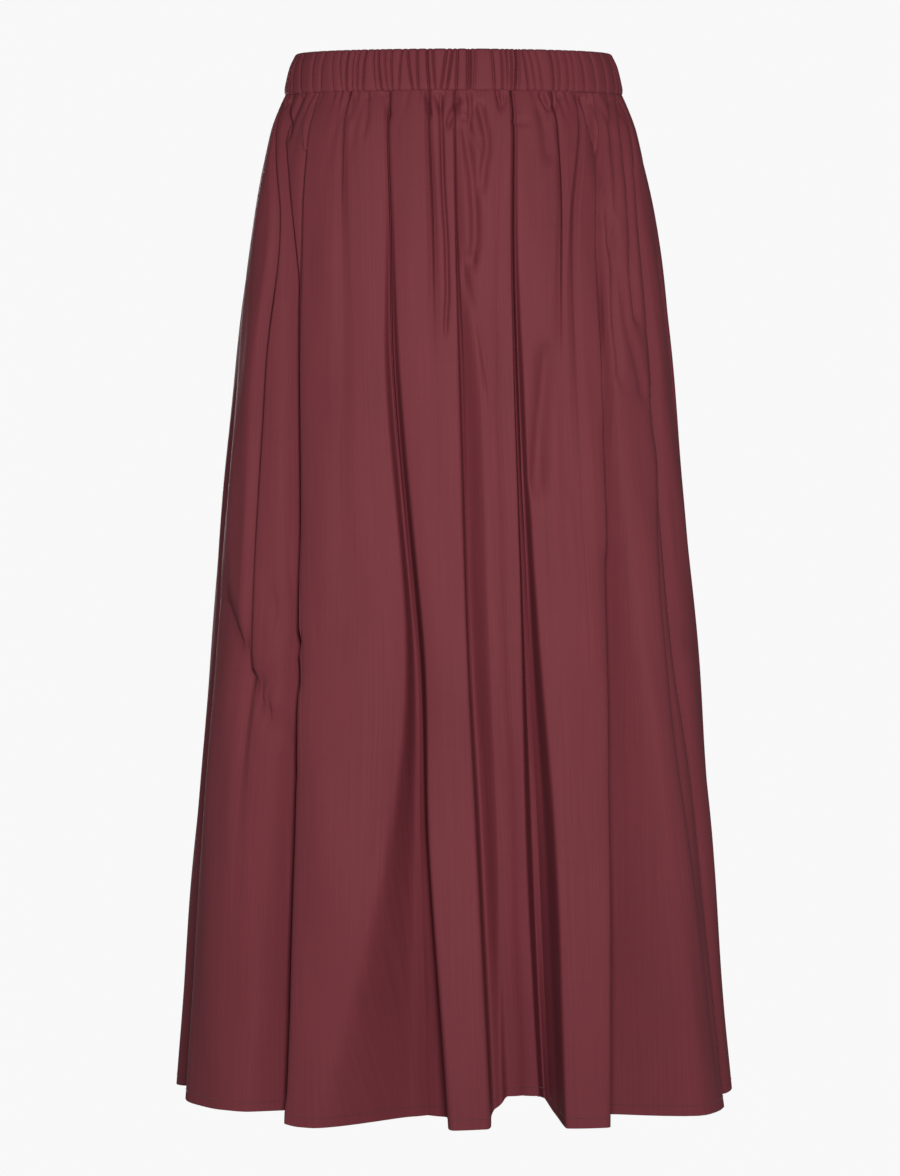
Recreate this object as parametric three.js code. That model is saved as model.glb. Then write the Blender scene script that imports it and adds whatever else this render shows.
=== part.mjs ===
// A gathered maxi skirt, held open as if worn: a ruched elastic waistband, a front and a back
// panel that hang in long uneven folds, and a pocket bag inside each side seam.
// Millimetres, +Z up, -Y is the front. The origin is the centre of the waist, half way up the waistband.
import * as THREE from "three";

const WINE = 0x6e353d;

// The waistband: a strip of the same cloth folded over a wide elastic.
const BAND_TOP = 17.5;
const BAND_BOTTOM = -17.5;
const BAND_WALL = 3.2;
const BAND_GATHERS = 84;
const BAND_COLUMNS_PER_GATHER = 3;
const BAND_RIDGE = 1.6;
const BAND_UNEVEN = 0.3;
const BAND_LEAN = 0.35;
const BAND_EDGE_SHARE = 0.45;

// The panels: one layer of poplin, drawn as a wall, with a narrow hem turned to the inside.
const SEAM_GAP = 0.3;
const CLOTH_WALL = 1.2;
const HEM_Z = -862;
const HEM_TURN = 8;
const HEM_WALL = 2.2;
const PANEL_TOP = BAND_BOTTOM - SEAM_GAP;
const UNDER_BAND = 1.2;
const SKIRT_GATHER = 1.5;
const SKIRT_GATHER_FADE = 32;
const CREST_SHARE = 0.8;
const FRONT_DIP = 8;
const FRONT_DIP_LEFT = [30, 42];
const FRONT_DIP_RIGHT = [66, 88];

// The pockets: a bag of two layers that lies flat behind the front panel, with its mouth in the side seam.
const MOUTH_TOP_Z = -119;
const MOUTH_LENGTH = 150;
const MOUTH_GAPE = 8;
const POCKET_WALL = 1.6;
const POCKET_TOP_Z = -26;
const POCKET_BOTTOM_Z = -300;
const POCKET_WIDTH = 115;
const POCKET_TOP_SHARE = 0.55;
const POCKET_LOW_SHARE = 0.3;
const POCKET_COLUMNS = 8;
const POCKET_CLEARANCE = 1.0;
const POCKET_PAST_SEAM = 6;
const POCKET_LOOKS_BEFORE = 12;
const FOLD_LOOKS = 40;
const SHARPEST_MITRE = 0.6;

// The figure that the skirt is worn on, over the crests of the folds. Squareness 2 is an ellipse.
const FIGURE = [
  { z: 17.5, halfWidth: 133, front: 98, back: 98, squareness: 2.0 },
  { z: 6, halfWidth: 138.5, front: 101, back: 102, squareness: 2.0 },
  { z: -17.5, halfWidth: 144.5, front: 106, back: 107, squareness: 2.0 },
  { z: -50, halfWidth: 156, front: 114, back: 119, squareness: 2.1 },
  { z: -120, halfWidth: 171, front: 125, back: 136, squareness: 2.2 },
  { z: -250, halfWidth: 187.5, front: 138, back: 150, squareness: 2.3 },
  { z: -480, halfWidth: 208, front: 160, back: 168, squareness: 2.5 },
  { z: -700, halfWidth: 225.5, front: 178, back: 182, squareness: 2.7 },
  { z: -862, halfWidth: 238, front: 192, back: 190, squareness: 2.8 },
];

// The folds, going round from the left side seam. Each is a trough between two crests.
// at: degrees round the figure, 0 at the middle of the front and 90 at the right side.
// deep: how far the trough sinks. wide: half its width. lean: how far its floor slides under a crest.
// floor: the flat share of its width. rise: how far it lifts the hem.
const AT_HEIGHTS = [PANEL_TOP, -120, -250, -480, -640, HEM_Z];
const CREST_ROUND = [0.03, 0.06, 0.09, 0.12, 0.14, 0.15];
const CREST_POWER = 2.5;
const REACHES_HEM = 3.5;
const FOLDS = [
  {
    name: "side seam left", floor: 0, rise: 0,
    at: [-84, -60.3, -57.2, -52, -49.6, -46.5], deep: [3, 7, 9, 5, 1, 1],
    wide: [5, 7, 9, 9, 10, 14], lean: [0, 0, 0, 0, 0, 0],
  },
  {
    name: "left overlap", floor: 0, rise: 0,
    at: [-74, -55, -45.7, -39.6, -38.6, -37.8], deep: [4, 6.5, 9.5, 20, 26, 32],
    wide: [6, 8, 10, 11, 15, 20], lean: [1, 1, 2, 9, 12, 16],
  },
  {
    name: "tuck", floor: 0, rise: 0,
    at: [-53, -47.3, -42.6, -35.8, -32, -28.5], deep: [2, 2.5, 1.5, 0, 0, 0],
    wide: [4, 5, 5, 8, 8, 8], lean: [1, 1, 1, 0, 0, 0],
  },
  {
    name: "soft", floor: 0, rise: 0,
    at: [-37.4, -31.9, -28.4, -25, -23.7, -22], deep: [1.5, 2.5, 2, 0.5, 0, 0],
    wide: [5, 8, 12, 18, 18, 18], lean: [0, 0, 0, 0, 0, 0],
  },
  {
    name: "inverted", floor: 0.25, rise: 2,
    at: [-22, -18, -15.4, -8.7, -9.6, -13.6], deep: [1.5, 2, 8, 18, 26, 48],
    wide: [3.5, 4, 7, 8.5, 19, 60], lean: [0, 0, -1, 0, 8, 32],
  },
  {
    name: "short tuck", floor: 0, rise: 0,
    at: [-8.5, -6, -4.7, -3.7, -2.9, -1.7], deep: [2, 3, 1.5, 0, 0, 0],
    wide: [4, 6, 8, 8, 8, 8], lean: [0, 0, 0, 0, 0, 0],
  },
  {
    name: "middle edge", floor: 0.1, rise: 0,
    at: [0.8, 1.8, 3.8, 5.5, 7.1, 8.7], deep: [1.5, 3, 8, 14, 15, 12],
    wide: [3.5, 5, 10, 10.5, 10, 6], lean: [-1, -3, -4, -5, -4, -3],
  },
  {
    name: "middle recess", floor: 0.4, rise: 20,
    at: [15.5, 12.3, 10.7, 12, 13.1, 14.4], deep: [0, 0, 2, 7, 20, 46],
    wide: [12, 16, 23, 30, 35, 33], lean: [0, 0, 0, 0, 0, 0],
  },
  {
    name: "right of middle", floor: 0.4, rise: 0,
    at: [19.7, 16.8, 16.4, 17.6, 18.7, 19.9], deep: [2, 3, 8, 18, 22, 26],
    wide: [3.5, 3.5, 4.5, 8, 12.5, 9.5], lean: [0, 0, 0, 1, 2, 3],
  },
  {
    name: "slant", floor: 0, rise: 0,
    at: [34.7, 30.9, 27.5, 27.3, 26.8, 26.1], deep: [2, 3, 2, 0, 0, 0],
    wide: [4, 7, 12, 16, 16, 16], lean: [0, 0, 0, 0, 0, 0],
  },
  {
    name: "upper right", floor: 0, rise: 0,
    at: [46.8, 34.9, 31.8, 30.8, 29.6, 28.4], deep: [3, 4, 2.5, 0, 0, 0],
    wide: [5, 6, 9, 14, 16, 16], lean: [0, 0, 0, 0, 0, 0],
  },
  {
    name: "side seam right", floor: 0.25, rise: 0,
    at: [56.7, 45.1, 41.9, 40.7, 41.1, 41.9], deep: [3, 6, 9, 20, 34, 48],
    wide: [4, 6, 8, 18, 32, 53], lean: [-1, -1, -1, -8, -14, -18],
  },
  {
    name: "right edge", floor: 0, rise: 0,
    at: [80, 65.8, 62.9, 62, 68, 75], deep: [4, 7, 10, 14, 16, 14],
    wide: [4, 6, 7, 9, 10, 11], lean: [-1, -2, -3, -6, -7, -7],
  },
  {
    name: "right side", floor: 0, rise: 2,
    at: [96, 84, 81, 82, 87, 93], deep: [4, 5, 6, 8, 10, 14],
    wide: [6, 9, 12, 20, 26, 34], lean: [0, 0, 0, 0, 0, 0],
  },
  {
    name: "back 1", floor: 0.1, rise: 2,
    at: [109, 103, 102, 104, 106, 110], deep: [4, 8, 12, 20, 28, 40],
    wide: [5, 8, 12, 18, 23, 28], lean: [1, 3, 5, 8, 11, 14],
  },
  {
    name: "back 2", floor: 0, rise: 0,
    at: [124, 121, 121, 122, 124, 128], deep: [4, 5, 6, 8, 11, 16],
    wide: [5, 9, 13, 20, 26, 32], lean: [0, 0, 0, 0, 0, 0],
  },
  {
    name: "back 3", floor: 0.2, rise: 4,
    at: [139, 139, 141, 143, 144.5, 147], deep: [5, 8, 13, 26, 40, 60],
    wide: [5, 8, 11, 17, 22, 28], lean: [1, 3, 5, 8, 11, 16],
  },
  {
    name: "back 4", floor: 0, rise: 0,
    at: [155, 156, 158, 161, 163, 165], deep: [4, 6, 4, 3, 5, 8],
    wide: [5, 9, 12, 20, 25, 30], lean: [0, 0, 0, 0, 0, 0],
  },
  {
    name: "back 5", floor: 0.3, rise: 5,
    at: [171, 173, 176, 179, 181, 183], deep: [5, 9, 14, 26, 38, 54],
    wide: [5, 8, 12, 18, 24, 32], lean: [0, 0, 0, 2, 3, 5],
  },
  {
    name: "back 6", floor: 0, rise: 0,
    at: [188, 190, 192, 195, 197, 200], deep: [4, 5, 6, 9, 13, 18],
    wide: [6, 9, 12, 20, 25, 30], lean: [0, 0, 0, 0, 0, 0],
  },
  {
    name: "back 7", floor: 0.2, rise: 4,
    at: [206, 207, 208, 211, 213, 216], deep: [5, 9, 13, 26, 39, 56],
    wide: [5, 8, 11, 17, 22, 28], lean: [-1, -3, -5, -8, -11, -16],
  },
  {
    name: "back 8", floor: 0, rise: 0,
    at: [223, 224, 226, 229, 230.5, 233], deep: [4, 5, 6, 7, 10, 14],
    wide: [6, 9, 13, 20, 26, 34], lean: [0, 0, 0, 0, 0, 0],
  },
  {
    name: "back 9", floor: 0.1, rise: 2,
    at: [241, 242, 245, 249, 251, 253], deep: [5, 8, 11, 19, 28, 42],
    wide: [5, 8, 12, 18, 23, 30], lean: [-1, -2, -4, -7, -9, -12],
  },
  {
    name: "left side", floor: 0, rise: 2,
    at: [262, 268, 273, 279, 281, 284], deep: [4, 5, 6, 8, 10, 12],
    wide: [6, 9, 13, 20, 26, 34], lean: [0, 0, 0, 0, 0, 0],
  },
];
const LEFT_SEAM = 0;
const RIGHT_SEAM = 11;
const isLong = (fold) => fold.deep[fold.deep.length - 1] > REACHES_HEM;

// Rows of the panels from the waistband seam to the hem. The last three are the turned hem.
const PANEL_ROWS = [
  PANEL_TOP, POCKET_TOP_Z, -40, -62, -95, -135, -185, -235, -275, POCKET_BOTTOM_Z,
  -380, -470, -560, -650, -740, -815, HEM_Z + HEM_TURN + 0.6, HEM_Z + HEM_TURN, HEM_Z,
];
const BAND_ROWS = [BAND_TOP, 11, BAND_BOTTOM];

const radians = (degrees) => (degrees * Math.PI) / 180;
const clamp01 = (x) => Math.min(1, Math.max(0, x));
const smoothstep = (x) => clamp01(x) ** 2 * (3 - 2 * clamp01(x));

// The value at height z of a smooth curve through the values given at some heights, highest first.
function along(heights, values, z) {
  const last = heights.length - 1;
  const slope = (i) => {
    const before = Math.max(0, i - 1);
    const after = Math.min(last, i + 1);
    return (values[after] - values[before]) / (heights[after] - heights[before]);
  };
  const clamped = Math.min(heights[0], Math.max(heights[last], z));
  let i = 0;
  while (i < last - 1 && clamped < heights[i + 1]) i += 1;
  const span = heights[i + 1] - heights[i];
  const t = (clamped - heights[i]) / span;
  const ease = t * t * (3 - 2 * t);
  return (
    values[i] * (1 - ease) + values[i + 1] * ease +
    span * (slope(i) * t * (1 - t) ** 2 - slope(i + 1) * t * t * (1 - t))
  );
}

// The figure's size at height z.
const FIGURE_HEIGHTS = FIGURE.map((row) => row.z);
function figureAt(z) {
  const read = (column) => along(FIGURE_HEIGHTS, FIGURE.map((row) => row[column]), z);
  return {
    halfWidth: read("halfWidth"),
    front: read("front"),
    back: read("back"),
    squareness: read("squareness"),
  };
}

// A point of the figure's outline at an angle: a superellipse, with its own depth in front and behind.
function outline(figure, angle) {
  const s = Math.sin(angle);
  const c = Math.cos(angle);
  const power = figure.squareness;
  const size = (Math.abs(s) ** power + Math.abs(c) ** power) ** (1 / power);
  return new THREE.Vector2((figure.halfWidth * s) / size, (-(c > 0 ? figure.front : figure.back) * c) / size);
}

// The folds at height z: centre angle, half width as an angle, depth, lean.
function foldsAt(figure, z) {
  return FOLDS.map((fold) => {
    const centre = radians(along(AT_HEIGHTS, fold.at, z));
    const step = 0.01;
    const speed = outline(figure, centre + step).distanceTo(outline(figure, centre - step)) / (2 * step);
    return {
      centre,
      half: Math.max(3, along(AT_HEIGHTS, fold.wide, z)) / speed,
      deep: Math.max(0, along(AT_HEIGHTS, fold.deep, z)),
      lean: along(AT_HEIGHTS, fold.lean, z),
      floor: fold.floor,
      rise: fold.rise,
      long: isLong(fold),
    };
  });
}

const TURN = 2 * Math.PI;
const turnedTo = (angle) => ((angle % TURN) + TURN) % TURN;

// How much of a fold is felt at an angle: 1 on its floor, 0 on the crests.
function share(fold, angle) {
  const offset = turnedTo(angle - fold.centre + Math.PI) - Math.PI;
  return 1 - smoothstep((Math.abs(offset) / fold.half - fold.floor) / (1 - fold.floor));
}

// How far a crest falls away towards the long folds on its two sides, so that it is round and not flat.
function crestFall(row, angle) {
  const centres = row.folds.filter((fold) => fold.long).map((fold) => fold.centre);
  const count = centres.length;
  const gapAfter = (k) => turnedTo(centres[(k + 1) % count] - centres[k % count]);
  const k = centres.findIndex((centre, i) => turnedTo(angle - centre) < gapAfter(i));
  const across = turnedTo(angle - centres[k]) / gapAfter(k);
  const nearer = across < 0.5 ? k : k + 1;
  const gaps = gapAfter(nearer) + gapAfter(nearer + count - 1);
  const halfGap = (row.speed * gaps) / 2;
  return along(AT_HEIGHTS, CREST_ROUND, row.z) * halfGap * Math.abs(2 * across - 1) ** CREST_POWER;
}

// How far the cloth has sunk from the figure's outline at an angle.
function sinkAt(row, angle) {
  const sums = row.folds.map((fold) => fold.deep * share(fold, angle));
  return sums.reduce((total, part) => total + part, row.tuckedIn + crestFall(row, angle));
}

// The figure's outline at an angle with its own two directions: forward along it and outward from it.
function frameAt(figure, angle) {
  const step = 1e-3;
  const forward = outline(figure, angle + step).sub(outline(figure, angle - step)).normalize();
  return { here: outline(figure, angle), forward, outward: new THREE.Vector2(forward.y, -forward.x) };
}

// A point of the folded cloth at an angle: the outline, sunk and slid by every fold.
function clothPoint(row, angle) {
  const { here, forward, outward } = frameAt(row.figure, angle);
  const slide = row.folds.reduce((total, fold) => total + fold.lean * share(fold, angle), 0);
  return here.addScaledVector(outward, -sinkAt(row, angle)).addScaledVector(forward, slide);
}

// The points of a line moved to its inner side by a distance, square to both neighbours of each point.
// The line has one point more at each end, which only steers the first and the last.
function movedIn(line, distance) {
  return line.slice(1, -1).map((point, i) => {
    const before = point.clone().sub(line[i]).normalize();
    const after = line[i + 2].clone().sub(point).normalize();
    const along = before.clone().add(after).normalize();
    const reach = distance / Math.max(SHARPEST_MITRE, along.dot(after));
    return new THREE.Vector2(point.x - along.y * reach, point.y + along.x * reach);
  });
}

function rowAt(z) {
  const figure = figureAt(z);
  const tuckedIn = UNDER_BAND * Math.exp((z - PANEL_TOP) / 6);
  const speed = (figure.halfWidth + (figure.front + figure.back) / 2) / 2;
  const gather = SKIRT_GATHER * Math.exp((z - PANEL_TOP) / SKIRT_GATHER_FADE);
  return { z, figure, folds: foldsAt(figure, z), tuckedIn, gather, speed };
}

// The angles of a row's columns between two folds: six to a fold, on its floor, its sides and its crest.
function columnAngles(row, from, to) {
  const count = FOLDS.length;
  const foldAt = (k) => {
    const fold = row.folds[k % count];
    return { ...fold, centre: fold.centre + TURN * Math.floor(k / count) };
  };
  const angles = [];
  for (let k = from; k < to; k += 1) {
    const a = foldAt(k);
    const b = foldAt(k + 1);
    const gap = b.centre - a.centre;
    const room = (CREST_SHARE * gap) / (a.half + b.half);
    const rightReach = Math.min(a.half, a.half * room);
    const leftReach = Math.min(b.half, b.half * room);
    const crest = (a.centre + rightReach + b.centre - leftReach) / 2;
    angles.push(
      a.centre, a.centre + rightReach / 2, a.centre + rightReach,
      crest, b.centre - leftReach, b.centre - leftReach / 2,
    );
  }
  angles.push(foldAt(to).centre);
  return angles;
}

// A closed wall from a grid of outer points and the matching grid of inner points, rows from the top down.
// A ring's last column joins its first; a sheet has a rim on both side edges.
function wall(outer, inner, ring) {
  const rows = outer.length;
  const columns = outer[0].length;
  const positions = [...outer.flat(), ...inner.flat()].flatMap((p) => [p.x, p.y, p.z]);
  const out = (i, j) => i * columns + (j % columns);
  const into = (i, j) => rows * columns + out(i, j);
  const index = [];
  const quad = (a, b, c, d) => index.push(a, d, b, b, d, c);
  const strips = ring ? columns : columns - 1;
  for (let j = 0; j < strips; j += 1) {
    for (let i = 0; i < rows - 1; i += 1) {
      quad(out(i, j), out(i, j + 1), out(i + 1, j + 1), out(i + 1, j));
      quad(into(i + 1, j + 1), into(i, j + 1), into(i, j), into(i + 1, j));
    }
    quad(into(0, j), into(0, j + 1), out(0, j + 1), out(0, j));
    quad(out(rows - 1, j), out(rows - 1, j + 1), into(rows - 1, j + 1), into(rows - 1, j));
  }
  for (let i = 0; i < rows - 1 && !ring; i += 1) {
    const end = columns - 1;
    quad(into(i, 0), out(i, 0), out(i + 1, 0), into(i + 1, 0));
    quad(into(i, end), into(i + 1, end), out(i + 1, end), out(i, end));
  }
  const geometry = new THREE.BufferGeometry();
  geometry.setAttribute("position", new THREE.Float32BufferAttribute(positions, 3));
  geometry.setIndex(index);
  geometry.computeVertexNormals();
  return geometry;
}

// How far a side seam's two edges stand apart at height z: the seam gap, and more in the pocket's mouth.
function seamOpening(z) {
  const inMouth = (MOUTH_TOP_Z - z) / MOUTH_LENGTH;
  return SEAM_GAP + MOUTH_GAPE * Math.sin(Math.PI * clamp01(inMouth)) ** 2;
}

// How far the hem is moved at an angle: up in the folds, and down along the middle of the front.
function hemMove(row, angle) {
  const rise = row.folds.reduce((total, fold) => total + fold.rise * share(fold, angle), 0);
  const fromMiddle = turnedTo(angle + Math.PI) - Math.PI;
  const [full, none] = (fromMiddle < 0 ? FRONT_DIP_LEFT : FRONT_DIP_RIGHT).map(radians);
  return rise - FRONT_DIP * (1 - smoothstep((Math.abs(fromMiddle) - full) / (none - full)));
}

// A panel between two folds that hold its side seams.
function panel(from, to) {
  const outer = [];
  const inner = [];
  for (const z of PANEL_ROWS) {
    const row = rowAt(z);
    const thick = z <= HEM_Z + HEM_TURN ? HEM_WALL : CLOTH_WALL;
    const nearHem = ((PANEL_TOP - z) / (PANEL_TOP - HEM_Z)) ** 6;
    const angles = columnAngles(row, from, to);
    const last = angles.length - 1;
    const aside = 0.5 * (angles[1] - angles[0]);
    const line = [angles[0] - aside, ...angles, angles[last] + aside].map((angle, j) => {
      const { outward } = frameAt(row.figure, angle);
      const ridge = j === 0 || j > last + 1 ? 0 : row.gather * (j % 2 === 0 ? 1 : -1);
      return clothPoint(row, angle).addScaledVector(outward, ridge);
    });
    const lineInside = movedIn(line, thick);
    const place = (point, j) => {
      const edge = j === 0 ? line[2].clone().sub(line[1]) : line[j + 1].clone().sub(line[j]);
      const inset = (j === 0 ? 0.5 : j === last ? -0.5 : 0) * seamOpening(z);
      const moved = point.clone().addScaledVector(edge.normalize(), inset);
      return { x: moved.x, y: moved.y, z: z + hemMove(row, angles[j]) * nearHem };
    };
    outer.push(line.slice(1, -1).map(place));
    inner.push(lineInside.map(place));
  }
  return wall(outer, inner, false);
}

// The waistband: ridges that lean and vary in height round a plain inside.
function waistband() {
  const count = BAND_GATHERS * BAND_COLUMNS_PER_GATHER;
  const outer = [];
  const inner = [];
  for (const z of BAND_ROWS) {
    const figure = figureAt(z);
    const nearEdge = z === BAND_TOP || z === BAND_BOTTOM ? BAND_EDGE_SHARE : 1;
    const outerRow = [];
    const innerRow = [];
    for (let j = 0; j < count; j += 1) {
      const gather = Math.floor(j / BAND_COLUMNS_PER_GATHER);
      const uneven = 1 - BAND_UNEVEN * (1 - Math.sin(2.4 * gather) * Math.cos(0.9 * gather));
      const leaning = BAND_LEAN * Math.sin(1.7 * gather + 0.6) * (z / BAND_TOP);
      const angle = (TURN * (j + leaning)) / count;
      const ridge = j % BAND_COLUMNS_PER_GATHER === 0 ? -BAND_RIDGE * uneven * nearEdge : 0;
      const { here, outward } = frameAt(figure, angle);
      const outside = here.clone().addScaledVector(outward, ridge);
      const inside = here.addScaledVector(outward, -BAND_WALL);
      outerRow.push({ x: outside.x, y: outside.y, z });
      innerRow.push({ x: inside.x, y: inside.y, z });
    }
    outer.push(outerRow);
    inner.push(innerRow);
  }
  return wall(outer, inner, true);
}

// A pocket bag behind the front panel: towards is 1 from the left seam and -1 from the right one.
// It lies just inside the deepest of the folds that it spans, on the panel's rows, with a round lower edge.
function pocket(seam, towards) {
  const columns = POCKET_COLUMNS;
  const outer = [];
  const inner = [];
  for (const z of PANEL_ROWS.filter((height) => height <= POCKET_TOP_Z && height >= POCKET_BOTTOM_Z)) {
    const down = (POCKET_TOP_Z - z) / (POCKET_TOP_Z - POCKET_BOTTOM_Z);
    const row = rowAt(z);
    const spread = POCKET_TOP_SHARE + (1 - POCKET_TOP_SHARE) * smoothstep(down * 3);
    const width = POCKET_WIDTH * spread * Math.sqrt(1 - (1 - POCKET_LOW_SHARE ** 2) * down ** 6);
    const angleAt = (fromSeam) => row.folds[seam].centre + (towards * fromSeam) / row.speed;
    const lookAt = (i) => (i / FOLD_LOOKS) * (POCKET_WIDTH + POCKET_LOOKS_BEFORE) - POCKET_LOOKS_BEFORE;
    const sinks = Array.from({ length: FOLD_LOOKS + 1 }, (_, i) => sinkAt(row, angleAt(lookAt(i))));
    const inset = Math.max(...sinks) + CLOTH_WALL / SHARPEST_MITRE + row.gather + POCKET_CLEARANCE;
    const line = [];
    for (let j = -1; j <= columns + 1; j += 1) {
      const across = (towards > 0 ? j : columns - j) / columns;
      const { here, outward } = frameAt(row.figure, angleAt(width * across - POCKET_PAST_SEAM));
      line.push(here.addScaledVector(outward, -inset));
    }
    const place = (point) => ({ x: point.x, y: point.y, z });
    outer.push(line.slice(1, -1).map(place));
    inner.push(movedIn(line, POCKET_WALL).map(place));
  }
  return wall(outer, inner, false);
}

function piece(name, geometry, colour) {
  const cloth = new THREE.MeshStandardMaterial({ color: colour, roughness: 0.85, metalness: 0 });
  const mesh = new THREE.Mesh(geometry, cloth);
  mesh.name = name;
  return mesh;
}

const skirt = new THREE.Group();
skirt.name = "maxi_skirt";
skirt.add(piece("waistband", waistband(), WINE));
skirt.add(piece("skirt_front", panel(LEFT_SEAM, RIGHT_SEAM), WINE));
skirt.add(piece("skirt_back", panel(RIGHT_SEAM, LEFT_SEAM + FOLDS.length), WINE));
skirt.add(piece("pocket_left", pocket(LEFT_SEAM, 1), WINE));
skirt.add(piece("pocket_right", pocket(RIGHT_SEAM, -1), WINE));

export default skirt;
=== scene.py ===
# %% [markdown]
# # A gathered maxi skirt, worn and filled out
#
# The skirt is one long tube of wine-coloured cotton poplin. A wide elastic in a casing gathers its top,
# a pocket lies in each side seam, and the hem is a narrow turned edge. What makes it look real is how the
# cloth falls: sharp creases at the waist that open into long soft folds. Each panel here is a surface
# worked out from two tables, the figure that wears the skirt and the folds that the cloth hangs in.

from collections import namedtuple

import bpy
import numpy as np
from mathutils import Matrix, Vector


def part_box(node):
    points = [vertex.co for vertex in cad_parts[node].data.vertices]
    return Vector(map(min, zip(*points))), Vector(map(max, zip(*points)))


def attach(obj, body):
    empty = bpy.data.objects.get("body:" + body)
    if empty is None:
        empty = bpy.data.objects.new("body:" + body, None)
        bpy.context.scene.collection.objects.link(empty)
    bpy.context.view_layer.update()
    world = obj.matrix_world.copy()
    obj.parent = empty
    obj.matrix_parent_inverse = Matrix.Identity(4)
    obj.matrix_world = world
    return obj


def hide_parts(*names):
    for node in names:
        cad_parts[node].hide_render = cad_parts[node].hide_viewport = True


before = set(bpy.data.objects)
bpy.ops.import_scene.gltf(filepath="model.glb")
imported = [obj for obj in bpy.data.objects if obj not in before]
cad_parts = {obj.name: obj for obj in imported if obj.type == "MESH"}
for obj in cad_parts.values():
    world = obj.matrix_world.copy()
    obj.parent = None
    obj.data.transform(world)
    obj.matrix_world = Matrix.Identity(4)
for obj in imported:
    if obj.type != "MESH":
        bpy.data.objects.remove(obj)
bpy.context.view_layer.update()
print("nodes:", sorted(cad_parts))

# %% [markdown]
# The tables below are in millimetres, as a pattern cutter writes them, and the meshes are in metres.
# The heights come from the frame: the waistband's two edges, the panels' top and the hem. The front dips
# a little, so the hem's level lies that much above the lowest point.

# %% Heights from the frame
MM = 0.001


def node_box(node):
    """The lowest and highest corner of a frame node, in millimetres."""
    return [np.array(corner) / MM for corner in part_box(node)]


BAND_BOTTOM, BAND_TOP = (corner[2] for corner in node_box("waistband"))
LOWEST, PANEL_TOP = (corner[2] for corner in node_box("skirt_front"))
FRONT_DIP = 8.0
HEM = LOWEST + FRONT_DIP
LENGTH = PANEL_TOP - HEM
print(f"waistband {BAND_TOP - BAND_BOTTOM:.0f} mm deep, panels {LENGTH:.0f} mm long")

# %% [markdown]
# ## The figure
#
# Cloth that is held out by a body follows a smooth oval at every height. A superellipse gives that oval
# with one number for how square it is, and it may be deeper behind than in front, as a figure is.

# %% The figure's outline
FIGURE_HEIGHTS = np.array([17.5, 6, -17.5, -50, -120, -250, -480, -700, -862])
FIGURE = {
    "half_width": np.array([133, 138.5, 144.5, 156, 171, 187.5, 208, 225.5, 238]),
    "front": np.array([98, 101, 106, 114, 125, 138, 160, 178, 192]),
    "back": np.array([98, 102, 107, 119, 136, 150, 168, 182, 190]),
    "squareness": np.array([2.0, 2.0, 2.0, 2.1, 2.2, 2.3, 2.5, 2.7, 2.8]),
}


def smoothstep(x):
    """0 below 0, 1 above 1, and 3x^2 - 2x^3 between."""
    x = np.clip(x, 0, 1)
    return x * x * (3 - 2 * x)


def along(heights, values, z):
    """A smooth curve through values given at falling heights: cubic Hermite pieces with averaged slopes."""
    heights = np.asarray(heights, float)
    values = np.asarray(values, float)
    slopes = np.gradient(values, edge_order=1) / np.gradient(heights, edge_order=1)
    z = np.clip(z, heights[-1], heights[0])
    i = np.clip(np.searchsorted(-heights, -z, side="right") - 1, 0, len(heights) - 2)
    span = heights[i + 1] - heights[i]
    t = (z - heights[i]) / span
    ease = t * t * (3 - 2 * t)
    bend = slopes[i] * t * (1 - t) ** 2 - slopes[i + 1] * t * t * (1 - t)
    return values[i] * (1 - ease) + values[i + 1] * ease + span * bend


def figure_at(z, column):
    return along(FIGURE_HEIGHTS, FIGURE[column], z)


def mean_speed(z):
    """About how many millimetres one radian is at this height, from the half width and both depths."""
    return (figure_at(z, "half_width") + (figure_at(z, "front") + figure_at(z, "back")) / 2) / 2


def outline(z, angle):
    """A superellipse: (w sin a, -d cos a) / (|sin a|^n + |cos a|^n)^(1/n), angle 0 at the front's middle."""
    power = figure_at(z, "squareness")
    sine, cosine = np.sin(angle), np.cos(angle)
    size = (np.abs(sine) ** power + np.abs(cosine) ** power) ** (1 / power)
    depth = np.where(cosine > 0, figure_at(z, "front"), figure_at(z, "back"))
    return np.stack([figure_at(z, "half_width") * sine / size, -depth * cosine / size], -1)


def outline_frame(z, angle):
    """The outline's point, its forward and outward directions, and its speed in mm per radian."""
    step = 1e-3
    forward = (outline(z, angle + step) - outline(z, angle - step)) / (2 * step)
    speed = np.linalg.norm(forward, axis=-1)
    forward = forward / speed[..., None]
    outward = np.stack([forward[..., 1], -forward[..., 0]], -1)
    return outline(z, angle), forward, outward, speed


# %% [markdown]
# ## The folds
#
# A hanging fold is a trough between two crests. Each row of the table is one trough: where it is at six
# heights (in degrees round the figure), how deep it sinks, half its width, how far its floor slides
# sideways under a crest, how flat its floor is, and how far it lifts the hem. The slit is the sharp crease
# that the gathering presses into its upper part, where one layer of cloth just overlaps the next.

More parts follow.
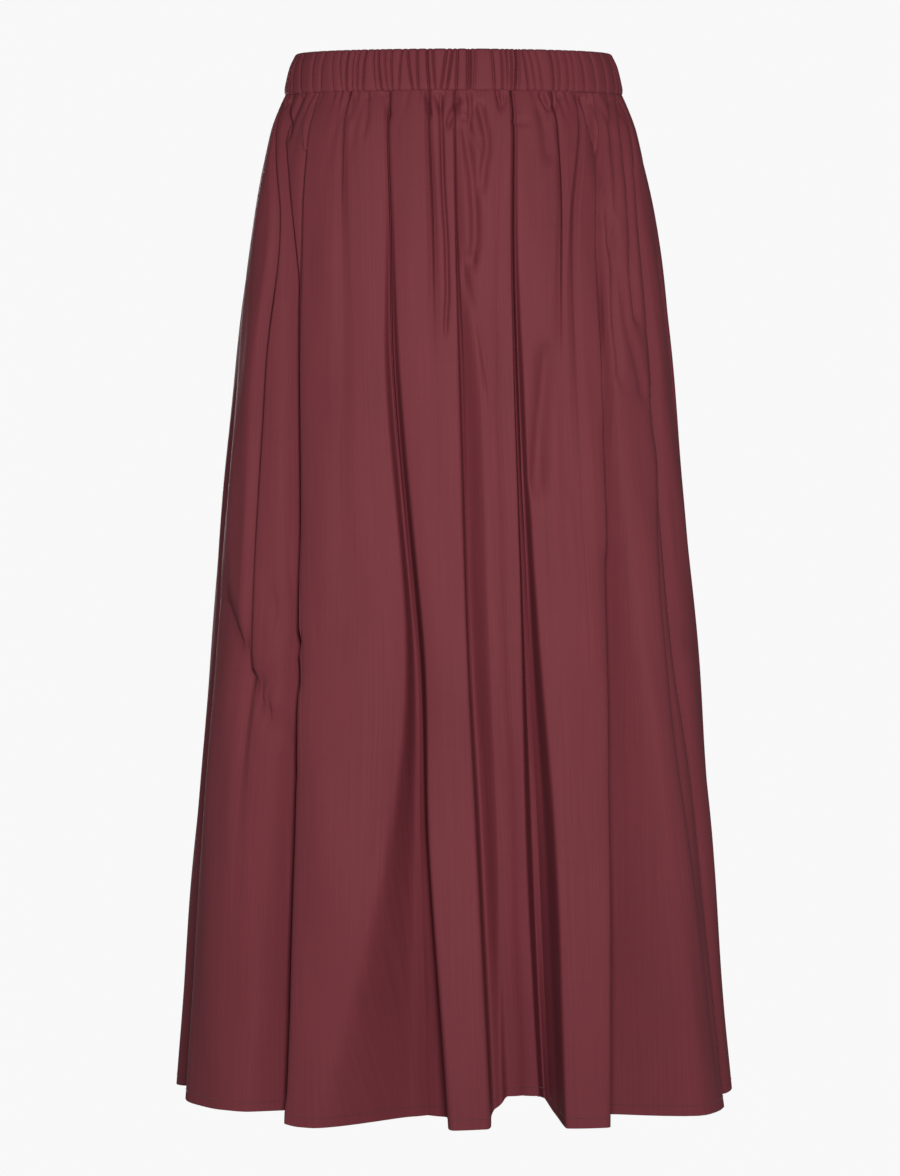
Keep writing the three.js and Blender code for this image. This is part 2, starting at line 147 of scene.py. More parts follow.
# %% The table of folds
AT_HEIGHTS = np.array([PANEL_TOP, -120, -250, -480, -640, HEM])
CREST_ROUND = [0.03, 0.06, 0.09, 0.12, 0.14, 0.15]
CREST_POWER = 2.5
REACHES_HEM = 3.5
UNDER_BAND = 1.2
UNDER_BAND_FADE = 6
NARROWEST_FOLD = 3
Fold = namedtuple("Fold", "name at deep wide lean floor rise slit tuck")
FOLDS = [
    Fold("side seam left", [-84, -60.3, -57.2, -52, -49.6, -46.5], [3, 7, 9, 5, 1, 1],
         [5, 7, 9, 9, 10, 14], [0, 0, 0, 0, 0, 0], 0, 0,
         [3, 2, 0.5, 0, 0, 0], 2),
    Fold("left overlap", [-74, -55, -45.7, -39.6, -38.6, -37.8], [4, 6.5, 9.5, 20, 26, 32],
         [6, 8, 10, 11, 15, 20], [1, 1, 2, 9, 12, 16], 0, 0,
         [2.5, 4, 3.5, 1, 0, 0], 2),
    Fold("tuck", [-53, -47.3, -42.6, -35.8, -32, -28.5], [2, 2.5, 1.5, 0, 0, 0],
         [4, 5, 5, 8, 8, 8], [1, 1, 1, 0, 0, 0], 0, 0,
         [2, 3, 2.5, 0.5, 0, 0], 2),
    Fold("soft", [-37.4, -31.9, -28.4, -25, -23.7, -22], [1.5, 2.5, 2, 0.5, 0, 0],
         [5, 8, 12, 18, 18, 18], [0, 0, 0, 0, 0, 0], 0, 0,
         [1.8, 0.3, 0, 0, 0, 0], -1),
    Fold("inverted", [-22, -18, -15.4, -8.7, -9.6, -13.6], [1.5, 2, 8, 18, 26, 48],
         [3.5, 4, 7, 8.5, 19, 60], [0, 0, -1, 0, 8, 32], 0.25, 2,
         [1.8, 3, 2.5, 0, 0, 0], -1),
    Fold("short tuck", [-8.5, -6, -4.7, -3.7, -2.9, -1.7], [2, 3, 1.5, 0, 0, 0],
         [4, 6, 8, 8, 8, 8], [0, 0, 0, 0, 0, 0], 0, 0,
         [1.5, 2, 0, 0, 0, 0], 1),
    Fold("middle edge", [0.8, 1.8, 3.8, 5.5, 7.1, 8.7], [1.5, 3, 8, 14, 15, 12],
         [3.5, 5, 10, 10.5, 10, 6], [-1, -3, -4, -5, -4, -3], 0.1, 0,
         [1.5, 2, 1, 0, 0, 0], -1),
    Fold("middle recess", [15.5, 12.3, 10.7, 12, 13.1, 14.4], [0, 0, 2, 7, 20, 46],
         [12, 16, 23, 30, 35, 33], [0, 0, 0, 0, 0, 0], 0.4, 20,
         [0, 0, 0, 0, 0, 0], 0),
    Fold("right of middle", [19.7, 16.8, 16.4, 17.6, 18.7, 19.9], [2, 3, 8, 18, 22, 26],
         [3.5, 3.5, 4.5, 8, 12.5, 9.5], [0, 0, 0, 1, 2, 3], 0.4, 0,
         [2.5, 4, 4, 0, 0, 0], 2),
    Fold("slant", [34.7, 30.9, 27.5, 27.3, 26.8, 26.1], [2, 3, 2, 0, 0, 0],
         [4, 7, 12, 16, 16, 16], [0, 0, 0, 0, 0, 0], 0, 0,
         [2, 2, 0, 0, 0, 0], 1),
    Fold("upper right", [46.8, 34.9, 31.8, 30.8, 29.6, 28.4], [3, 4, 2.5, 0, 0, 0],
         [5, 6, 9, 14, 16, 16], [0, 0, 0, 0, 0, 0], 0, 0,
         [2.5, 2.5, 1, 0, 0, 0], -1),
    Fold("side seam right", [56.7, 45.1, 41.9, 40.7, 41.1, 41.9], [3, 6, 9, 20, 34, 48],
         [4, 6, 8, 18, 32, 53], [-1, -1, -1, -8, -14, -18], 0.25, 0,
         [3, 5.5, 4.5, 1, 0, 0], -1),
    Fold("right edge", [80, 65.8, 62.9, 62, 68, 75], [4, 7, 10, 14, 16, 14],
         [4, 6, 7, 9, 10, 11], [-1, -2, -3, -6, -7, -7], 0, 0,
         [3, 4, 3, 1, 0, 0], -2),
    Fold("right side", [96, 84, 81, 82, 87, 93], [4, 5, 6, 8, 10, 14],
         [6, 9, 12, 20, 26, 34], [0, 0, 0, 0, 0, 0], 0, 2,
         [2, 1, 0, 0, 0, 0], 1),
    Fold("back 1", [109, 103, 102, 104, 106, 110], [4, 8, 12, 20, 28, 40],
         [5, 8, 12, 18, 23, 28], [1, 3, 5, 8, 11, 14], 0.1, 2,
         [3, 4, 2, 1, 0, 0], 2),
    Fold("back 2", [124, 121, 121, 122, 124, 128], [4, 5, 6, 8, 11, 16],
         [5, 9, 13, 20, 26, 32], [0, 0, 0, 0, 0, 0], 0, 0,
         [2, 1, 0, 0, 0, 0], 1),
    Fold("back 3", [139, 139, 141, 143, 144.5, 147], [5, 8, 13, 26, 40, 60],
         [5, 8, 11, 17, 22, 28], [1, 3, 5, 8, 11, 16], 0.2, 4,
         [3, 5, 3, 1, 0, 0], 2),
    Fold("back 4", [155, 156, 158, 161, 163, 165], [4, 6, 4, 3, 5, 8],
         [5, 9, 12, 20, 25, 30], [0, 0, 0, 0, 0, 0], 0, 0,
         [3, 3, 0, 0, 0, 0], 1),
    Fold("back 5", [171, 173, 176, 179, 181, 183], [5, 9, 14, 26, 38, 54],
         [5, 8, 12, 18, 24, 32], [0, 0, 0, 2, 3, 5], 0.3, 5,
         [3, 4, 3, 1, 0, 0], -2),
    Fold("back 6", [188, 190, 192, 195, 197, 200], [4, 5, 6, 9, 13, 18],
         [6, 9, 12, 20, 25, 30], [0, 0, 0, 0, 0, 0], 0, 0,
         [2, 2, 0, 0, 0, 0], 1),
    Fold("back 7", [206, 207, 208, 211, 213, 216], [5, 9, 13, 26, 39, 56],
         [5, 8, 11, 17, 22, 28], [-1, -3, -5, -8, -11, -16], 0.2, 4,
         [3, 5, 3, 1, 0, 0], -2),
    Fold("back 8", [223, 224, 226, 229, 230.5, 233], [4, 5, 6, 7, 10, 14],
         [6, 9, 13, 20, 26, 34], [0, 0, 0, 0, 0, 0], 0, 0,
         [2, 1, 0, 0, 0, 0], 1),
    Fold("back 9", [241, 242, 245, 249, 251, 253], [5, 8, 11, 19, 28, 42],
         [5, 8, 12, 18, 23, 30], [-1, -2, -4, -7, -9, -12], 0.1, 2,
         [3, 4, 2, 1, 0, 0], -2),
    Fold("left side", [262, 268, 273, 279, 281, 284], [4, 5, 6, 8, 10, 12],
         [6, 9, 13, 20, 26, 34], [0, 0, 0, 0, 0, 0], 0, 2,
         [2, 1, 0, 0, 0, 0], 1),
]
LEFT_SEAM, RIGHT_SEAM = 0, 11
LONG_FOLDS = [k for k, fold in enumerate(FOLDS) if fold.deep[-1] > REACHES_HEM]
print(len(FOLDS), "folds round the skirt")


# %% [markdown]
# ## From folds to cloth
#
# A point of the cloth starts on the figure's outline and is pushed in along the outline's normal and
# sideways along the outline. Every fold gives its own share of both, 1 on its floor and 0 on the crests.

# %% The folded surface
TURN = 2 * np.pi


def nearest_turn(angle):
    """The same angle between minus half a turn and half a turn."""
    return (angle + np.pi) % TURN - np.pi


def fold_centres(z):
    """Each fold's centre angle at each height of a column of heights, in radians."""
    return np.stack([np.radians(along(AT_HEIGHTS, fold.at, z[:, 0])) for fold in FOLDS], -1)


def trough_share(offset, half, floor):
    """1 on the trough's flat floor, then one smooth step up to 0 at its half width."""
    return 1 - smoothstep((np.abs(offset) / half - floor) / (1 - floor))


def crest_fall(z, centres, angle, speed):
    """Between two long folds a crest falls away to both sides, faster near them, by a share of the gaps."""
    centres = centres[:, LONG_FOLDS]
    count = len(LONG_FOLDS)
    gaps = (np.roll(centres, -1, 1) - centres) % TURN
    crown = along(AT_HEIGHTS, CREST_ROUND, z) * speed * (gaps + np.roll(gaps, 1, 1)) / 2
    fall = np.zeros_like(angle)
    for k in range(count):
        across = ((angle - centres[:, k:k + 1]) % TURN) / gaps[:, k:k + 1]
        after = (k + 1) % count
        nearer = np.where(across < 0.5, crown[:, k:k + 1], crown[:, after:after + 1])
        fall += np.where(across < 1, nearer * np.abs(2 * across - 1) ** CREST_POWER, 0)
    return fall


SLIT_HALF_WIDTH = 1.1
SLIT_FLOOR = 0.15
SLIT_STRENGTH = 1.8
FRONT_DIP_LEFT = np.radians([30, 42])
FRONT_DIP_RIGHT = np.radians([66, 88])
HEM_FADE_POWER = 6


def cloth(z, angle):
    """The folded cloth: outline - outward * sum(deep * share) + forward * sum(lean * share).

    z is a column of heights and angle a grid. Returns the points in mm and the outward directions."""
    here, forward, outward, speed = outline_frame(z, angle)
    centres = fold_centres(z)
    sink = UNDER_BAND * np.exp((z - PANEL_TOP) / UNDER_BAND_FADE)
    sink = sink + crest_fall(z, centres, angle, mean_speed(z))
    slide = np.zeros_like(angle)
    rise = np.zeros_like(angle)
    for k, fold in enumerate(FOLDS):
        centre = centres[:, k:k + 1]
        _, _, _, fold_speed = outline_frame(z, centre)
        offset = nearest_turn(angle - centre) * fold_speed
        half = np.maximum(NARROWEST_FOLD, along(AT_HEIGHTS, fold.wide, z))
        share = trough_share(offset, half, fold.floor)
        sink += np.maximum(0, along(AT_HEIGHTS, fold.deep, z)) * share
        slide += along(AT_HEIGHTS, fold.lean, z) * share
        rise += fold.rise * share
        slit = SLIT_STRENGTH * np.maximum(0, along(AT_HEIGHTS, fold.slit, z))
        slit_share = trough_share(offset, SLIT_HALF_WIDTH, SLIT_FLOOR)
        sink += slit * slit_share
        slide += np.sign(fold.tuck) * np.minimum(abs(fold.tuck), slit) * slit_share
    point = here - outward * sink[..., None] + forward * slide[..., None]
    from_middle = nearest_turn(angle)
    full, none = (np.where(from_middle < 0, *pair) for pair in zip(FRONT_DIP_LEFT, FRONT_DIP_RIGHT))
    rise -= FRONT_DIP * (1 - smoothstep((np.abs(from_middle) - full) / (none - full)))
    near_hem = ((PANEL_TOP - z) / LENGTH) ** HEM_FADE_POWER
    return np.concatenate([point, (z + rise * near_hem)[..., None]], -1), outward


# %% [markdown]
# ## Small creases
#
# Poplin is crisp, so the gathering leaves short creases under the waistband and a few drag lines lower
# down. Each is a groove along a path seen from the front, in millimetres from the waist's centre, with its
# depth and half width. Side 0 is even on both sides; 1 or -1 is sharp, and fades out to the right or left.
# The back has a set of its own.

# %% The tables of creases
Crease = namedtuple("Crease", "side deep half path")
FRONT_CREASES = [
    Crease(0, 3.0, 2.0, [(-143, -27), (-142, -37), (-141, -48)]),
    Crease(0, 2.2, 2.0, [(-130, -22), (-136, -36), (-141, -52)]),
    Crease(0, 1.5, 2.0, [(-72, -22), (-73, -40), (-75, -52)]),
    Crease(0, 1.2, 2.0, [(-85, -22), (-86, -37)]),
    Crease(0, 1.5, 3.0, [(-59, -21), (-55, -37)]),
    Crease(0, 1.6, 1.8, [(-23, -21), (-20, -37)]),
    Crease(0, 1.6, 1.8, [(-15, -21), (-12, -32)]),
    Crease(0, 2.4, 1.7, [(-11, -21), (-10, -52), (-9, -94), (-6, -143), (-5, -185), (-7, -218)]),
    Crease(0, 2.8, 2.6, [(4, -26), (0, -34), (-5, -45)]),
    Crease(0, 1.6, 1.8, [(3, -35), (8, -33), (13, -36)]),
    Crease(0, 3.2, 4.5, [(8, -46), (11, -59), (15, -85), (18, -119), (18, -143), (15, -158)]),
    Crease(0, 2.0, 2.2, [(5, -155), (10, -160), (17, -157)]),
    Crease(1, 2.2, 7.0, [(10, -165), (14, -185), (20, -214), (28, -259)]),
    Crease(0, 2.2, 1.7, [(13, -21), (14, -34), (13, -47)]),
    Crease(0, 1.6, 2.2, [(13, -47), (16, -56), (21, -61)]),
    Crease(0, 2.8, 3.8, [(22, -32), (27, -52), (28, -66), (25, -82), (24, -97)]),
    Crease(0, 1.5, 2.0, [(37, -21), (39, -32)]),
    Crease(0, 1.3, 2.0, [(43, -21), (42, -29)]),
    Crease(0, 1.8, 1.7, [(50, -43), (56, -44), (63, -42)]),
    Crease(0, 2.2, 2.2, [(73, -21), (80, -31)]),
    Crease(0, 2.2, 5.5, [(74, -34), (77, -52), (79, -70)]),
    Crease(0, 1.5, 2.0, [(89, -21), (84, -32)]),
    Crease(0, 2.4, 1.8, [(111, -21), (116, -38), (120, -56)]),
    Crease(0, 1.3, 1.5, [(108, -21), (115, -44)]),
    Crease(-1, 3.2, 7.0, [(116, -26), (122, -65), (128, -98), (133, -123), (137, -143)]),
    Crease(0, 1.5, 2.2, [(133, -23), (134, -52), (136, -85), (137, -119)]),
    Crease(0, 3.2, 2.6, [(141, -24), (145, -61), (148, -94), (149, -127), (150, -168), (154, -205)]),
    Crease(1, 1.8, 4.0, [(155, -81), (159, -119), (162, -168), (165, -218), (169, -268), (172, -309)]),
    Crease(0, 2.2, 2.0, [(133, -124), (135, -160), (136, -210), (139, -234), (141, -255)]),
    Crease(-1, 2.6, 5.0, [(137, -143), (141, -176), (146, -210), (153, -234), (162, -266)]),
    Crease(0, 1.8, 2.6, [(139, -254), (149, -262), (161, -266)]),
    Crease(0, 2.0, 1.7, [(122, -121), (131, -124)]),
    Crease(0, 4.5, 8.0, [(77, -236), (72, -292), (70, -342)]),
    Crease(-1, 3.6, 9.0, [(-127, -69), (-132, -110), (-135, -176), (-137, -243), (-136, -317),
                          (-135, -441), (-136, -524), (-138, -648), (-140, -773), (-143, -847)]),
    Crease(-1, 4.4, 14.0, [(-190, -446), (-183, -465), (-176, -491), (-166, -518), (-155, -540),
                           (-143, -560), (-136, -586)]),
    Crease(1, 3.0, 8.0, [(-159, -441), (-152, -460), (-142, -481), (-133, -498)]),
    Crease(0, 3.5, 5.0, [(-164, -509), (-150, -512), (-134, -511)]),
    Crease(0, 3.5, 4.5, [(-143, -433), (-142, -458), (-138, -470), (-133, -476)]),
    Crease(0, 2.2, 2.6, [(37, -814), (44, -811), (53, -812)]),
    Crease(0, 1.6, 4.0, [(138, -715), (148, -726), (158, -730)]),
    Crease(0, 1.6, 4.0, [(199, -475), (202, -487)]),
    Crease(1, 3.0, 9.0, [(170, -276), (175, -309), (176, -392), (177, -441), (182, -491), (187, -541),
                         (194, -599), (200, -648), (207, -698), (214, -748), (221, -806), (226, -843)]),
    Crease(0, 4.2, 12.0, [(139, -408), (144, -524), (147, -648), (151, -773), (154, -839)]),
    Crease(1, 5.2, 18.0, [(130, -300), (133, -414), (135, -534), (135, -705), (135, -862)]),
]
BACK_CREASES = [
    Crease(0, 1.8, 2.4, [(-104, -20), (-109, -44), (-112, -72)]),
    Crease(0, 1.3, 2.6, [(-84, -20), (-80, -44)]),
    Crease(0, 1.8, 3.2, [(-58, -20), (-61, -52), (-60, -90)]),
    Crease(0, 1.5, 2.4, [(-40, -20), (-35, -48)]),
    Crease(0, 1.6, 2.6, [(-12, -20), (-10, -44), (-14, -70)]),
    Crease(0, 1.4, 2.2, [(8, -20), (3, -40)]),
    Crease(0, 1.8, 3.4, [(30, -20), (35, -50), (36, -84)]),
    Crease(0, 1.4, 2.4, [(52, -20), (50, -46)]),
    Crease(0, 1.7, 2.6, [(74, -20), (76, -46), (82, -76)]),
    Crease(0, 1.3, 2.2, [(98, -20), (96, -40)]),
    Crease(0, 1.6, 2.6, [(116, -20), (124, -66)]),
    Crease(1, 2.0, 9.0, [(-70, -150), (-66, -196), (-60, -240)]),
    Crease(-1, 2.2, 10.0, [(64, -190), (70, -240), (74, -290)]),
    Crease(1, 3.0, 12.0, [(-100, -470), (-94, -516), (-84, -560)]),
]
SHARP_SIDE = 1.8
CREASE_STRENGTH = 1.9


def crease_distance(x, z, path):
    """The distance to a path of short runs, and how far to its right the nearest point lies."""
    away = np.full_like(x, np.inf)
    right = np.zeros_like(x)
    for (x0, z0), (x1, z1) in zip(path, path[1:]):
        run_x, run_z = x1 - x0, z1 - z0
        t = np.clip(((x - x0) * run_x + (z - z0) * run_z) / (run_x ** 2 + run_z ** 2), 0, 1)
        far_x, far_z = x - x0 - t * run_x, z - z0 - t * run_z
        here = np.hypot(far_x, far_z)
        right = np.where(here < away, far_x, right)
        away = np.minimum(here, away)
    return away, right


def crease_sink(x, z, creases):
    """Grooves: deep * exp(-(d / half)^2), or deep * exp(-d / half) on the side that a crease fades to."""
    sink = np.zeros_like(x)
    for crease in creases:
        away, right = crease_distance(x, z, crease.path)
        if crease.side == 0:
            sink += CREASE_STRENGTH * crease.deep * np.exp(-(away / crease.half) ** 2)
        else:
            reach = np.where(right * crease.side > 0, crease.half, SHARP_SIDE)
            sink += CREASE_STRENGTH * crease.deep * np.exp(-away / reach)
    return sink


# %% [markdown]
# Under the seam the cloth is also puckered all round by the gathering thread. The puckers are too many to
# place by hand, so a seeded generator spreads them, each with its own depth, length and lean.

# %% Puckers under the waistband
PUCKERS = 96
PUCKER_HALF = 1.9
PUCKER_SPREAD = 0.05
pucker_random = np.random.default_rng(7)
pucker_angle = TURN * (np.arange(PUCKERS) + pucker_random.uniform(-0.35, 0.35, PUCKERS)) / PUCKERS
pucker_deep = pucker_random.uniform(0.7, 2.9, PUCKERS)
pucker_long = pucker_random.uniform(6, 34, PUCKERS)
pucker_lean = pucker_random.uniform(-0.0012, 0.0012, PUCKERS)


def pucker_sink(z, angle, speed):
    """Grooves that start at the seam and widen: deep * exp(-(offset / half)^2) * exp(-drop / long)."""
    drop = np.maximum(0, PANEL_TOP - z)
    sink = np.zeros_like(angle)
    for k in range(PUCKERS):
        offset = nearest_turn(angle - pucker_angle[k] - pucker_lean[k] * drop) * speed
        half = PUCKER_HALF + PUCKER_SPREAD * drop
        sink += pucker_deep[k] * np.exp(-(offset / half) ** 2) * np.exp(-drop / pucker_long[k])
    return sink


# %% [markdown]
# ## A panel's grid
#
# Columns follow the folds down the cloth, so that a crease never cuts across the mesh, and they crowd
# together near each fold's centre. Rows crowd together at the waist, where the detail is fine.

# %% Rows and columns
FRONT_COLUMNS, BACK_COLUMNS = 41, 32
PANEL_ROWS = 100
EVEN_ROWS = 0.22
CROWDING = 0.75
HEM_TURN = 8.0
HEM_ROWS = [HEM_TURN + 0.5, HEM_TURN, HEM_TURN - 1.5, HEM_TURN / 2, 1.2, 0.3, 0]
TUCK_UP = 3.0
TUCK_IN = 2.3
CLOTH_THICK = 0.5
HEM_THICK = 1.5


def panel_heights():
    """Heights from inside the casing to the hem: steps grow downwards, with close rows at the hem's step."""
    t = np.linspace(0, 1, PANEL_ROWS)
    body = PANEL_TOP - (LENGTH - HEM_TURN - 2) * (EVEN_ROWS * t + (1 - EVEN_ROWS) * t * t)
    return np.concatenate([[PANEL_TOP + TUCK_UP], body, HEM + np.array(HEM_ROWS)])[:, None]


def panel_angles(z, first, last, columns):
    """Angles between fold centres: a + gap * (s - c sin(2 pi s) / 2 pi), denser near each centre."""
    centres = fold_centres(z)
    count = len(FOLDS)
    s = np.arange(columns) / columns
    eased = s - CROWDING * np.sin(TURN * s) / TURN
    blocks = []
    for k in range(first, last):
        start = centres[:, k % count] + TURN * (k // count)
        stop = centres[:, (k + 1) % count] + TURN * ((k + 1) // count)
        blocks.append(start[:, None] + (stop - start)[:, None] * eased)
    end = centres[:, last % count] + TURN * (last // count)
    return np.concatenate(blocks + [end[:, None]], 1)


def grid_normals(points):
    """Unit normals of a grid of points, from the cross product of its two directions."""
    across = np.gradient(points, axis=1)
    down = np.gradient(points, axis=0)
    normal = np.cross(down, across)
    return normal / np.linalg.norm(normal, axis=-1, keepdims=True)


# %% [markdown]
# ## Grids into meshes
#
# Every cloth piece is a closed wall: a grid of outer points, a grid of inner points, and rims. One helper
# numbers the faces for a strip of cloth or for a ring and writes a UV map in metres of cloth, so that the
# weave follows each piece as it would follow the real one.

# %% Wall and mesh helpers
def wall_faces(rows, columns, ring):
    """Quads of a closed wall: outer grid first, inner grid after it, rims at all open edges."""
    grid = np.arange(rows * columns).reshape(rows, columns)
    if ring:
        grid = np.concatenate([grid, grid[:, :1]], 1)
    inside = grid + rows * columns

    def quads(a, b, c, d):
        return np.stack([a, b, c, d], -1).reshape(-1, 4)

    faces = [
        quads(grid[:-1, :-1], grid[1:, :-1], grid[1:, 1:], grid[:-1, 1:]),
        quads(inside[:-1, :-1], inside[:-1, 1:], inside[1:, 1:], inside[1:, :-1]),
        quads(grid[0, :-1], grid[0, 1:], inside[0, 1:], inside[0, :-1]),
        quads(grid[-1, 1:], grid[-1, :-1], inside[-1, :-1], inside[-1, 1:]),
    ]
    if not ring:
        faces.append(quads(grid[1:, 0], grid[:-1, 0], inside[:-1, 0], inside[1:, 0]))
        faces.append(quads(grid[:-1, -1], grid[1:, -1], inside[1:, -1], inside[:-1, -1]))
    return np.concatenate(faces)


def new_mesh(name, points, faces, uv=None):
    """A smooth-shaded object at the origin from points in mm, quads, and one UV pair for each point."""
    mesh = bpy.data.meshes.new(name)
    mesh.vertices.add(len(points))
    mesh.vertices.foreach_set("co", np.ascontiguousarray(points * MM, np.float32).ravel())
    mesh.loops.add(faces.size)
    mesh.loops.foreach_set("vertex_index", np.ascontiguousarray(faces, np.int32).ravel())
    mesh.polygons.add(len(faces))
    mesh.polygons.foreach_set("loop_start", np.arange(0, faces.size, faces.shape[1], dtype=np.int32))
    mesh.polygons.foreach_set("use_smooth", np.ones(len(faces), bool))
    mesh.update(calc_edges=True)
    if uv is not None:
        layer = mesh.uv_layers.new(name="cloth")
        layer.data.foreach_set("uv", np.ascontiguousarray(uv[faces.ravel()], np.float32).ravel())
    mesh.validate()
    piece = bpy.data.objects.new(name, mesh)
    bpy.context.scene.collection.objects.link(piece)
    print(f"{name}: {len(points)} points, {len(faces)} faces")
    return piece


def cloth_wall(name, outer, inner, uv, ring=False):
    rows, columns = outer.shape[:2]
    points = np.concatenate([outer.reshape(-1, 3), inner.reshape(-1, 3)])
    both = np.concatenate([uv.reshape(-1, 2), uv.reshape(-1, 2)])
    return new_mesh(name, points, wall_faces(rows, columns, ring), both)


# %% [markdown]
# ## The two panels
#
# Front and back meet at the side seams, each of which lies in the floor of a fold. Over the length of a
# hand the seam is left open for the pocket, so there the two edges stand apart. A panel's first row is
# tucked up inside the casing, and at the turned hem the inner wall steps in by the extra layers.

# %% Side seams and pocket mouths
SEAM_GAP = 0.06
MOUTH_TOP = -119.0
MOUTH_LENGTH = 150.0
MOUTH_GAPE = 8.0
MOUTH_COLUMNS = 9
SIDE_FADE = 2.2
WAVES = [(0.7, 9, 0.013, 1.0), (0.6, 17, -0.021, 2.2), (0.35, 31, 0.034, 0.4)]
WAVES_FULL_AT = 160


def seam_opening(z):
    """How far the edges stand apart: the seam gap, and a squared sine over the pocket's mouth."""
    in_mouth = np.clip((MOUTH_TOP - z) / MOUTH_LENGTH, 0, 1)
    return SEAM_GAP + MOUTH_GAPE * np.sin(np.pi * in_mouth) ** 2


def slow_waves(z, angle):
    """Low, wide unevenness that no fold explains: three sine waves that drift round and down."""
    waves = sum(high * np.sin(count * angle + drift * z + start) for high, count, drift, start in WAVES)
    return waves * smoothstep((PANEL_TOP - z) / WAVES_FULL_AT)


def panel(name, first, last, columns):
    z = panel_heights()
    angle = panel_angles(z, first, last, columns)
    points, outward = cloth(z, angle)
    _, _, _, speed = outline_frame(z, angle)
    start = outline(z, angle)
    full_z = np.broadcast_to(z, angle.shape)
    sink = np.where(start[..., 1] < 0, crease_sink(start[..., 0], full_z, FRONT_CREASES),
                    crease_sink(start[..., 0], full_z, BACK_CREASES))
    facing = smoothstep(SIDE_FADE * np.abs(outward[..., 1]))
    sink = sink * facing + pucker_sink(z, angle, speed) - slow_waves(z, angle)
    points[..., :2] -= outward * sink[..., None]
    points[0, :, :2] = start[0] - outward[0] * TUCK_IN
    opening = seam_opening(z)[:, 0]
    for column, beside in ((0, 1), (-1, -2)):
        edge = points[:, beside] - points[:, column]
        edge /= np.linalg.norm(edge, axis=-1, keepdims=True)
        points[:, column] += edge * (0.5 * opening)[:, None]
    # The columns next to an opened edge move over with it, so that none of them folds back.
    for j in range(1, MOUTH_COLUMNS):
        for column, step in ((j, 1), (-1 - j, -1)):
            fade = (0.5 * (opening - SEAM_GAP) * (1 - j / MOUTH_COLUMNS))[:, None]
            edge = points[:, column + step] - points[:, column]
            points[:, column] += edge / np.linalg.norm(edge, axis=-1, keepdims=True) * fade
    normal = grid_normals(points)
    thick = np.where(z <= HEM + HEM_TURN, HEM_THICK, CLOTH_THICK)[..., None]
    inner = points - normal * thick
    hem_steps = np.linalg.norm(np.diff(points[-1], axis=0), axis=-1)
    across = np.concatenate([[0], np.cumsum(hem_steps)]) * MM
    uv = np.stack(np.broadcast_arrays(across[None, :], z * MM), -1)
    piece = cloth_wall(name, points, inner, uv)
    top_steps = np.linalg.norm(np.diff(points[1], axis=0), axis=-1)
    print(f"{name}: hem {across[-1]:.2f} m, top {top_steps.sum() * MM:.2f} m")
    return piece, points, normal


front, front_points, front_normal = panel("front_panel", LEFT_SEAM, RIGHT_SEAM, FRONT_COLUMNS)
back, back_points, back_normal = panel("back_panel", RIGHT_SEAM, LEFT_SEAM + len(FOLDS), BACK_COLUMNS)

# %% [markdown]
# ## The waistband
#
# Elastic pulls a casing together until the cloth lies in narrow pads with a sharp groove between each two,
# uneven in width and leaning a little. The front's grooves are listed in millimetres from the middle at
# the casing's top and low edges, with their depth there; the back's come from a seeded generator.

# %% Grooves of the waistband
BAND_COLUMNS_PER_GROOVE = 10
BAND_THICK = 4.6
BAND_ROUND = 1.6
GROOVE_DEEP = 3.4
GROOVE_HALF = 0.9
GROOVE_TUCK = 0.8
PILLOW = 0.8
PAD_FILL = 16
BAND_CROWDING = 0.6
BAND_ROWS = 15
TOP_ROWS = 7
LOW_EDGE_INSET = 2.0
LOW_EDGE_FADE = 14
LOW_EDGE_SHARE = 0.45
TOP_SHARE = 0.3
INSIDE_SHARE = 0.2
EDGE_PULL = 0.8
EDGE_PULL_LEVEL = 0.2
LOW_PULL_FADE = 4
TOP_PULL_SHARE = 0.7
TOP_PULL_FADE = 3
BAND_UV_RADIUS = 0.25
BACK_GROOVES = 44
Groove = namedtuple("Groove", "x_top x_low top low")
FRONT_GROOVES = [
    Groove(-130, -137, 0.7, 0.5), Groove(-125, -129, 0.9, 1.0), Groove(-115, -119, 0.5, 0.8),
    Groove(-107, -112, 0.7, 0.5), Groove(-100, -101, 0.3, 0.4), Groove(-94, -94, 0.5, 0.4),
    Groove(-87, -90, 1.0, 0.9), Groove(-82, -85, 0.4, 0.4), Groove(-78, -81, 0.6, 0.6),
    Groove(-72, -76, 1.0, 0.9), Groove(-66, -65, 0.5, 0.2), Groove(-62, -60, 0.6, 0.8),
    Groove(-57, -55, 0.4, 0.3), Groove(-51, -51, 0.5, 0.5), Groove(-43, -46, 0.9, 0.6),
    Groove(-38, -34, 0.6, 0.7), Groove(-30, -29, 0.6, 0.6), Groove(-22, -20, 0.9, 1.0),
    Groove(-17, -15, 0.6, 0.5), Groove(-6, -11, 1.0, 0.8), Groove(-1, -6, 0.9, 0.9),
    Groove(3, 2, 0.7, 0.8), Groove(11, 11, 0.8, 0.7), Groove(14, 14, 1.0, 0.9), Groove(18, 17, 0.5, 0.4),
    Groove(31, 34, 0.5, 0.7), Groove(39, 41, 0.7, 0.8), Groove(43, 45, 0.5, 0.2), Groove(47, 48, 0.5, 0.5),
    Groove(51, 51, 1.0, 0.9), Groove(54, 55, 0.6, 0.3), Groove(57, 63, 1.0, 0.9), Groove(62, 69, 0.7, 0.6),
    Groove(68, 75, 0.8, 0.9), Groove(79, 84, 1.0, 0.9), Groove(85, 89, 0.6, 0.7), Groove(92, 96, 0.5, 0.8),
    Groove(97, 102, 0.6, 0.3), Groove(104, 111, 1.0, 0.9), Groove(113, 121, 0.6, 0.7),
    Groove(122, 130, 0.5, 0.8), Groove(131, 138, 0.5, 0.6),
]


